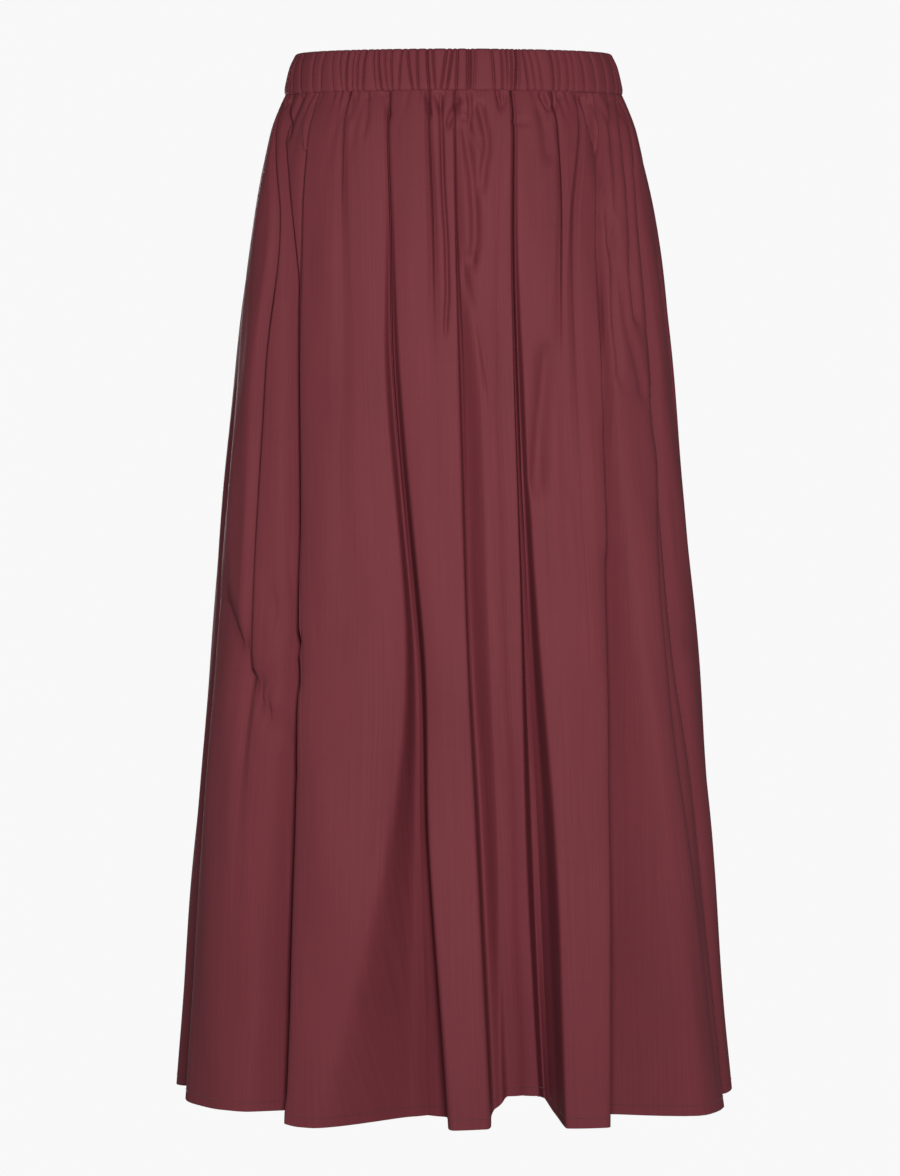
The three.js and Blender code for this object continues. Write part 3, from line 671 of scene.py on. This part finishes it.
def band_grooves():
    """Angle at the top and low edges, depth there and tuck of each groove: the front's, then the back's."""
    chance = np.random.default_rng(21)
    wide_top, wide_low = (figure_at(np.array(z), "half_width") for z in (BAND_TOP, BAND_BOTTOM))
    front_rows = np.array([(np.arcsin(min(0.97, max(-0.97, groove.x_top / wide_top))),
                            np.arcsin(groove.x_low / wide_low), groove.top, groove.low)
                           for groove in FRONT_GROOVES])
    first, last = front_rows[-1, 1], front_rows[0, 1] + TURN
    place = (np.arange(1, BACK_GROOVES + 1) + chance.uniform(-0.33, 0.33, BACK_GROOVES)) / (BACK_GROOVES + 1)
    angle = first + (last - first) * place
    lean = chance.uniform(-0.012, 0.012, BACK_GROOVES)
    depths = chance.uniform(0.3, 1.0, (BACK_GROOVES, 2))
    back_rows = np.column_stack([angle + lean, angle - lean, depths])
    rows = np.concatenate([front_rows, back_rows])
    return rows, chance.choice([-1.0, 1.0], len(rows))


def band_section():
    """The casing's section, up, over the top and down inside: inset, height, share of the grooves' depth."""
    rise = np.linspace(0, 1, BAND_ROWS)
    depth = BAND_TOP - BAND_BOTTOM - BAND_ROUND
    outside = np.stack([LOW_EDGE_INSET * np.exp(-rise * LOW_EDGE_FADE), BAND_BOTTOM + rise * depth], -1)
    turn = np.linspace(0.12, 0.88, TOP_ROWS) * np.pi
    top = np.stack([(1 - np.cos(turn)) * BAND_THICK / 2, BAND_TOP + BAND_ROUND * (np.sin(turn) - 1)], -1)
    inside = np.stack([np.full(BAND_ROWS, BAND_THICK), BAND_TOP - BAND_ROUND - rise * depth], -1)
    loop = np.concatenate([outside, top, inside])
    up = LOW_EDGE_SHARE + (1 - LOW_EDGE_SHARE) * smoothstep(rise * 5)
    over = np.linspace(1, TOP_SHARE, TOP_ROWS)
    shown = np.concatenate([up, over, np.full(BAND_ROWS, INSIDE_SHARE)])
    return loop[:, 0], loop[:, 1], shown


def waistband():
    """Columns follow the grooves up the casing: each span runs from one groove to the next."""
    grooves, tuck = band_grooves()
    inset, z, shown = band_section()
    share = np.clip((z - BAND_BOTTOM) / (BAND_TOP - BAND_BOTTOM), 0, 1)[:, None]
    centre = grooves[:, 1] + (grooves[:, 0] - grooves[:, 1]) * share
    power = grooves[:, 3] + (grooves[:, 2] - grooves[:, 3]) * share
    after = np.concatenate([centre[:, 1:], centre[:, :1] + TURN], 1)
    s = np.arange(BAND_COLUMNS_PER_GROOVE) / BAND_COLUMNS_PER_GROOVE
    eased = s - BAND_CROWDING * np.sin(TURN * s) / TURN
    angle = centre[..., None] + (after - centre)[..., None] * eased
    column = z[:, None, None]
    _, _, _, speed = outline_frame(column, angle)
    from_this = np.exp(-((angle - centre[..., None]) * speed / GROOVE_HALF) ** 2)
    to_next = np.exp(-((after[..., None] - angle) * speed / GROOVE_HALF) ** 2)
    groove = power[..., None] * from_this + np.roll(power, -1, 1)[..., None] * to_next
    slide = (power * tuck)[..., None] * from_this + np.roll(power * tuck, -1, 1)[..., None] * to_next
    span = np.minimum(1, (after - centre) * PAD_FILL)[..., None]
    pillow = PILLOW * span * np.sin(np.pi * s)
    rows = len(z)
    angle, groove, slide, pillow = (grid.reshape(rows, -1) for grid in (angle, groove, slide, pillow))
    column = z[:, None]
    here, forward, outward, _ = outline_frame(column, angle)
    facing = np.where(np.arange(rows) < rows / 2, 1, -1)[:, None]
    away = inset[:, None] + (GROOVE_DEEP * groove - pillow) * shown[:, None] * facing
    low_pull = np.exp(-(column - BAND_BOTTOM) / LOW_PULL_FADE)
    top_pull = TOP_PULL_SHARE * np.exp(-(BAND_TOP - column) / TOP_PULL_FADE)
    height = column + EDGE_PULL * (groove - EDGE_PULL_LEVEL) * (low_pull - top_pull)
    aside = GROOVE_TUCK * slide * shown[:, None]
    flat_points = here - outward * away[..., None] + forward * aside[..., None]
    points = np.concatenate([flat_points, height[..., None]], -1)
    columns = angle.shape[1]
    grid = np.arange(rows * columns).reshape(rows, columns)
    grid = np.concatenate([grid, grid[:, :1]], 1)
    grid = np.concatenate([grid, grid[:1]], 0)
    faces = np.stack([grid[:-1, :-1], grid[:-1, 1:], grid[1:, 1:], grid[1:, :-1]], -1).reshape(-1, 4)
    uv = np.stack(np.broadcast_arrays(angle * BAND_UV_RADIUS, column * MM), -1).reshape(-1, 2)
    return new_mesh("waistband_casing", points.reshape(-1, 3), faces, uv)


band = waistband()

# %% [markdown]
# ## The pockets
#
# A side-seam pocket is a flat bag of two layers that hangs behind the front panel, and outside only a
# sliver of it shows, where the mouth gapes. The bag's heights come from its solid in the frame.

# %% Pocket bags
POCKET_WIDTH = 115.0
POCKET_PAST_SEAM = 6.0
POCKET_TOP_SHARE = 0.55
POCKET_LOW_SHARE = 0.3
POCKET_THICK = 1.4
POCKET_CLEARANCE = 6.0
POCKET_SPREADS_BY = 3
POCKET_CURVE = 6
POCKET_ROWS = 60
POCKET_COLUMNS = 40
LOOK_STEPS = 41


def pocket(name, node, seam, towards):
    """A bag at the frame's heights: the figure's outline moved in past every fold in front of it."""
    low, high = node_box(node)
    z = np.linspace(high[2], low[2], POCKET_ROWS)[:, None]
    down = (high[2] - z) / (high[2] - low[2])
    centres = fold_centres(z)[:, seam:seam + 1]
    speed = mean_speed(z)
    spread = POCKET_TOP_SHARE + (1 - POCKET_TOP_SHARE) * smoothstep(down * POCKET_SPREADS_BY)
    width = POCKET_WIDTH * spread * np.sqrt(1 - (1 - POCKET_LOW_SHARE ** 2) * down ** POCKET_CURVE)
    s = np.linspace(0, 1, POCKET_COLUMNS)[None, :]
    angle = centres + towards * (width * s - POCKET_PAST_SEAM) / speed
    look = np.linspace(-2 * POCKET_PAST_SEAM, POCKET_WIDTH, LOOK_STEPS)[None, :]
    look_angle = centres + towards * look / speed
    folded, _ = cloth(z, look_angle)
    reach = np.linalg.norm(outline(z, look_angle) - folded[..., :2], axis=-1)
    inset = reach.max(1, keepdims=True) + POCKET_CLEARANCE
    here, _, outward, _ = outline_frame(z, angle)
    height = np.broadcast_to(z, angle.shape)
    outer = np.concatenate([here - outward * inset[..., None], height[..., None]], -1)
    if towards < 0:
        outer = outer[:, ::-1]
    inner = outer - grid_normals(outer) * POCKET_THICK
    uv = np.stack(np.broadcast_arrays(s * width * MM, z * MM), -1)
    return cloth_wall(name, outer, inner, uv)


pocket_left = pocket("pocket_bag_left", "pocket_left", LEFT_SEAM, 1)
pocket_right = pocket("pocket_bag_right", "pocket_right", RIGHT_SEAM, -1)

# %% [markdown]
# ## Stitches
#
# A row of stitches holds the hem. A stitch is a small bead of thread, so one shape is repeated along the
# panels' own points, in the row where the hem's inner wall steps in.

# %% Stitches along a path
STITCH_LENGTH = 2.4
STITCH_PITCH = 3.4
STITCH_RADIUS = 0.28
STITCH_SIDES = 6
STITCH_SHARES = np.array([0.0, 0.25, 0.75, 1.0])
STITCH_SWELL = np.array([0.35, 1.0, 1.0, 0.35])
STITCH_LIFT = 0.25


def stitches_along(path, normal):
    """Beads spaced evenly along a path: six-sided, thin at both ends, half sunk into the cloth."""
    steps = np.linalg.norm(np.diff(path, axis=0), axis=-1)
    run = np.concatenate([[0], np.cumsum(steps)])
    middle = np.arange(STITCH_PITCH, run[-1] - STITCH_PITCH, STITCH_PITCH)

    def sample(values, at):
        return np.stack([np.interp(at, run, values[:, i]) for i in range(3)], -1)

    start = sample(path, middle - STITCH_LENGTH / 2)
    stop = sample(path, middle + STITCH_LENGTH / 2)
    out = sample(normal, middle)
    out /= np.linalg.norm(out, axis=-1, keepdims=True)
    side = np.cross(out, stop - start)
    side /= np.linalg.norm(side, axis=-1, keepdims=True)
    ring = np.arange(STITCH_SIDES) * TURN / STITCH_SIDES
    swell = STITCH_SWELL * STITCH_RADIUS
    centre = start[:, None] + (stop - start)[:, None] * STITCH_SHARES[None, :, None]
    centre = centre + out[:, None] * STITCH_LIFT * STITCH_RADIUS
    around = side[:, None, None] * np.cos(ring)[:, None] + out[:, None, None] * np.sin(ring)[:, None]
    points = centre[:, :, None] + around * swell[None, :, None, None]
    body = []
    for first in range(0, STITCH_SIDES * (len(STITCH_SHARES) - 1), STITCH_SIDES):
        after = first + STITCH_SIDES
        for i in range(STITCH_SIDES):
            j = (i + 1) % STITCH_SIDES
            body.append((first + i, first + j, after + j, after + i))
    caps = [(5, 4, 3, 2), (5, 2, 1, 0), (18, 19, 20, 21), (18, 21, 22, 23)]
    faces = np.array(body + caps)
    bead_starts = STITCH_SIDES * len(STITCH_SHARES) * np.arange(len(middle))
    return points.reshape(-1, 3), (faces[None] + bead_starts[:, None, None]).reshape(-1, 4)


def stitch_piece(name, lines):
    """One mesh from several rows of stitches."""
    points, faces, total = [], [], 0
    for row_points, row_faces in lines:
        points.append(row_points)
        faces.append(row_faces + total)
        total += len(row_points)
    return new_mesh(name, np.concatenate(points), np.concatenate(faces))


HEM_STITCH_ROW = -6
hem_stitches = stitch_piece("hem_stitching", [
    stitches_along(front_points[HEM_STITCH_ROW], front_normal[HEM_STITCH_ROW]),
    stitches_along(back_points[HEM_STITCH_ROW], back_normal[HEM_STITCH_ROW]),
])

# %% [markdown]
# ## Shader maths in Python
#
# A small class wraps a socket, so that an expression such as mask * 0.3 + 0.7 adds its own Math nodes.

# %% The socket class
class Wire:
    """A socket of a material's node tree with + - * and a maker for any other node."""

    def __init__(self, tree, socket):
        self.tree = tree
        self.socket = socket

    def _math(self, operation, first, second):
        made = add_node(self.tree, "ShaderNodeMath", {"operation": operation}, {0: first, 1: second})
        return Wire(self.tree, made.outputs[0])

    def __add__(self, other):
        return self._math("ADD", self, other)

    def __radd__(self, other):
        return self._math("ADD", other, self)

    def __sub__(self, other):
        return self._math("SUBTRACT", self, other)

    def __rsub__(self, other):
        return self._math("SUBTRACT", other, self)

    def __mul__(self, other):
        return self._math("MULTIPLY", self, other)

    def __rmul__(self, other):
        return self._math("MULTIPLY", other, self)


def add_node(tree, kind, settings=None, inputs=None):
    """Adds a node, sets its settings first, then gives each named socket a value or a link."""
    made = tree.nodes.new(kind)
    for key, value in (settings or {}).items():
        setattr(made, key, value)
    for key, value in (inputs or {}).items():
        if isinstance(value, Wire):
            tree.links.new(value.socket, made.inputs[key])
        else:
            made.inputs[key].default_value = value
    return made


def srgb(red, green, blue):
    """A linear colour with alpha from a screen colour of 0 to 255."""
    screen = np.array([red, green, blue]) / 255
    linear = np.where(screen <= 0.04045, screen / 12.92, ((screen + 0.055) / 1.055) ** 2.4)
    return (*linear.tolist(), 1.0)


# %% [markdown]
# ## Poplin
#
# Poplin is a fine plain weave. From a step away the threads don't show one by one, but the thicker ones
# do: faint streaks along the warp, which runs down the skirt, and much fainter ones across. The streaks
# change the colour a little and raise the surface a little, and the cloth has a low, soft sheen.

# %% The poplin material
WINE = srgb(107, 43, 51)
WINE_LIGHT = srgb(114, 47, 56)
WINE_DARK = srgb(100, 39, 47)
ROUGHNESS = 0.78


def poplin(name, base, light, dark):
    material = bpy.data.materials.new(name)
    material.use_nodes = True
    tree = material.node_tree
    tree.nodes.clear()
    coords = Wire(tree, add_node(tree, "ShaderNodeUVMap", {"uv_map": "cloth"}).outputs[0])

    def noise(scale, detail, rough=0.55):
        mapping = add_node(tree, "ShaderNodeMapping", None, {"Vector": coords, "Scale": scale})
        made = add_node(tree, "ShaderNodeTexNoise", {"noise_dimensions": "2D"}, {
            "Vector": Wire(tree, mapping.outputs[0]), "Scale": 1.0, "Detail": detail, "Roughness": rough})
        return Wire(tree, made.outputs[0])

    warp = noise((900, 14, 1), 4)
    weft = noise((20, 1300, 1), 3)
    cloudy = noise((9, 5, 1), 3)
    slub = noise((420, 4, 1), 5, 0.7)
    tone = warp * 0.45 + weft * 0.15 + slub * 0.4
    ramp = add_node(tree, "ShaderNodeValToRGB", None, {"Fac": tone * 0.75 + cloudy * 0.25})
    stops = ramp.color_ramp.elements
    stops[0].position, stops[0].color = 0.34, dark
    stops[1].position, stops[1].color = 0.66, light
    middle = stops.new(0.5)
    middle.color = base
    bump = add_node(tree, "ShaderNodeBump", None, {
        "Height": warp * 0.5 + weft * 0.3 + slub * 0.2, "Strength": 0.22, "Distance": 0.0004})
    shader = add_node(tree, "ShaderNodeBsdfPrincipled", None, {
        "Base Color": Wire(tree, ramp.outputs[0]),
        "Roughness": warp * 0.1 + (ROUGHNESS - 0.05),
        "Normal": Wire(tree, bump.outputs[0]),
        "Sheen Weight": 0.04,
        "Sheen Roughness": 0.4,
        "Sheen Tint": WINE,
        "Specular IOR Level": 0.25,
    })
    output = add_node(tree, "ShaderNodeOutputMaterial")
    tree.links.new(shader.outputs[0], output.inputs[0])
    return material


poplin_body = poplin("wine_poplin", WINE, WINE_LIGHT, WINE_DARK)
poplin_band = poplin("wine_poplin_ruched", WINE, WINE_LIGHT, WINE_DARK)
# The pocket bag's poplin is a copy of the panels' poplin set a little darker: painted shade for the bag that
# hangs inside the skirt.
poplin_pocket_painted_shade = poplin("wine_poplin_pocket_painted_shade", srgb(101, 42, 49), srgb(107, 46, 53), srgb(94, 38, 45))


def thread_material():
    material = bpy.data.materials.new("wine_thread")
    material.use_nodes = True
    tree = material.node_tree
    tree.nodes.clear()
    place = Wire(tree, add_node(tree, "ShaderNodeTexCoord").outputs["Object"])
    twist = add_node(tree, "ShaderNodeTexNoise", None, {"Vector": place, "Scale": 900.0, "Detail": 2.0})
    ramp = add_node(tree, "ShaderNodeValToRGB", None, {"Fac": Wire(tree, twist.outputs[0])})
    ramp.color_ramp.elements[0].color = srgb(48, 16, 22)
    ramp.color_ramp.elements[1].color = srgb(78, 30, 37)
    shader = add_node(tree, "ShaderNodeBsdfPrincipled", None, {
        "Base Color": Wire(tree, ramp.outputs[0]), "Roughness": 0.5, "Sheen Weight": 0.2})
    output = add_node(tree, "ShaderNodeOutputMaterial")
    tree.links.new(shader.outputs[0], output.inputs[0])
    return material


thread = thread_material()
for piece, material in ((front, poplin_body), (back, poplin_body), (band, poplin_band),
                        (pocket_left, poplin_pocket_painted_shade), (pocket_right, poplin_pocket_painted_shade), (hem_stitches, thread)):
    piece.data.materials.append(material)

# %% [markdown]
# ## What each piece stands for
#
# Each cloth piece takes the place of its solid in the frame and rides on the skirt's one body.

for piece, node, slot in ((front, "skirt_front", "poplin"), (back, "skirt_back", "poplin"),
                          (band, "waistband", "poplin_band"), (pocket_left, "pocket_left", "pocket_cloth"),
                          (pocket_right, "pocket_right", "pocket_cloth")):
    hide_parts(node)
    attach(piece, "root")
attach(hem_stitches, "root")

# %% [markdown]
# ## Studio
#
# The key lamp stands in front, just right of the middle and about level with the waist. Weaker lamps at
# both sides, one behind and pale surroundings fill the folds. There is no floor, and the background is
# plain.

# %% Lights and camera
LIGHTS_AIM = Vector((0, 0, -0.45))


def studio_light(name, place, size, power):
    """A round lamp of the given width in metres and power in watts, turned to the skirt's middle."""
    lamp = bpy.data.lights.new(name, "AREA")
    lamp.shape = "DISK"
    lamp.size = size
    lamp.energy = power
    holder = bpy.data.objects.new(name, lamp)
    holder.location = place
    holder.rotation_euler = (LIGHTS_AIM - holder.location).to_track_quat("-Z", "Y").to_euler()
    holder.visible_camera = False
    bpy.context.scene.collection.objects.link(holder)


studio_light("key_light", (0.08, -1.85, -0.05), 0.35, 31)
studio_light("left_light", (-1.9, -0.25, -0.5), 0.5, 6)
studio_light("right_light", (1.9, -0.25, -0.5), 0.5, 6)
studio_light("back_light", (-0.5, 1.7, -0.2), 0.6, 22)

SURROUND_LIGHT = 0.165
SURROUND_SEEN = 0.94
world = bpy.data.worlds.new("studio")
bpy.context.scene.world = world
world.use_nodes = True
air = world.node_tree
air.nodes.clear()
ray = add_node(air, "ShaderNodeLightPath")
seen = Wire(air, ray.outputs["Is Camera Ray"])
surround = add_node(air, "ShaderNodeBackground", None, {
    "Color": (1, 1, 1, 1), "Strength": seen * (SURROUND_SEEN - SURROUND_LIGHT) + SURROUND_LIGHT})
air.links.new(surround.outputs[0], add_node(air, "ShaderNodeOutputWorld").inputs[0])

CAMERA_AWAY = 4.0
CAMERA_ASIDE = -0.003
CAMERA_HEIGHT = -0.1775
VIEW_MIDDLE = -0.4365
FIELD_HEIGHT = 1.0055
SENSOR_WIDTH = 36
camera_data = bpy.data.cameras.new("camera")
camera_data.sensor_width = SENSOR_WIDTH
camera_data.lens = SENSOR_WIDTH * np.hypot(CAMERA_AWAY, VIEW_MIDDLE - CAMERA_HEIGHT) / FIELD_HEIGHT
camera = bpy.data.objects.new("camera", camera_data)
camera.location = (CAMERA_ASIDE, -CAMERA_AWAY, CAMERA_HEIGHT)
aim = Vector((CAMERA_ASIDE, 0, VIEW_MIDDLE)) - camera.location
camera.rotation_euler = aim.to_track_quat("-Z", "Y").to_euler()
bpy.context.scene.collection.objects.link(camera)
bpy.context.scene.camera = camera
bpy.context.scene.view_settings.view_transform = "Standard"
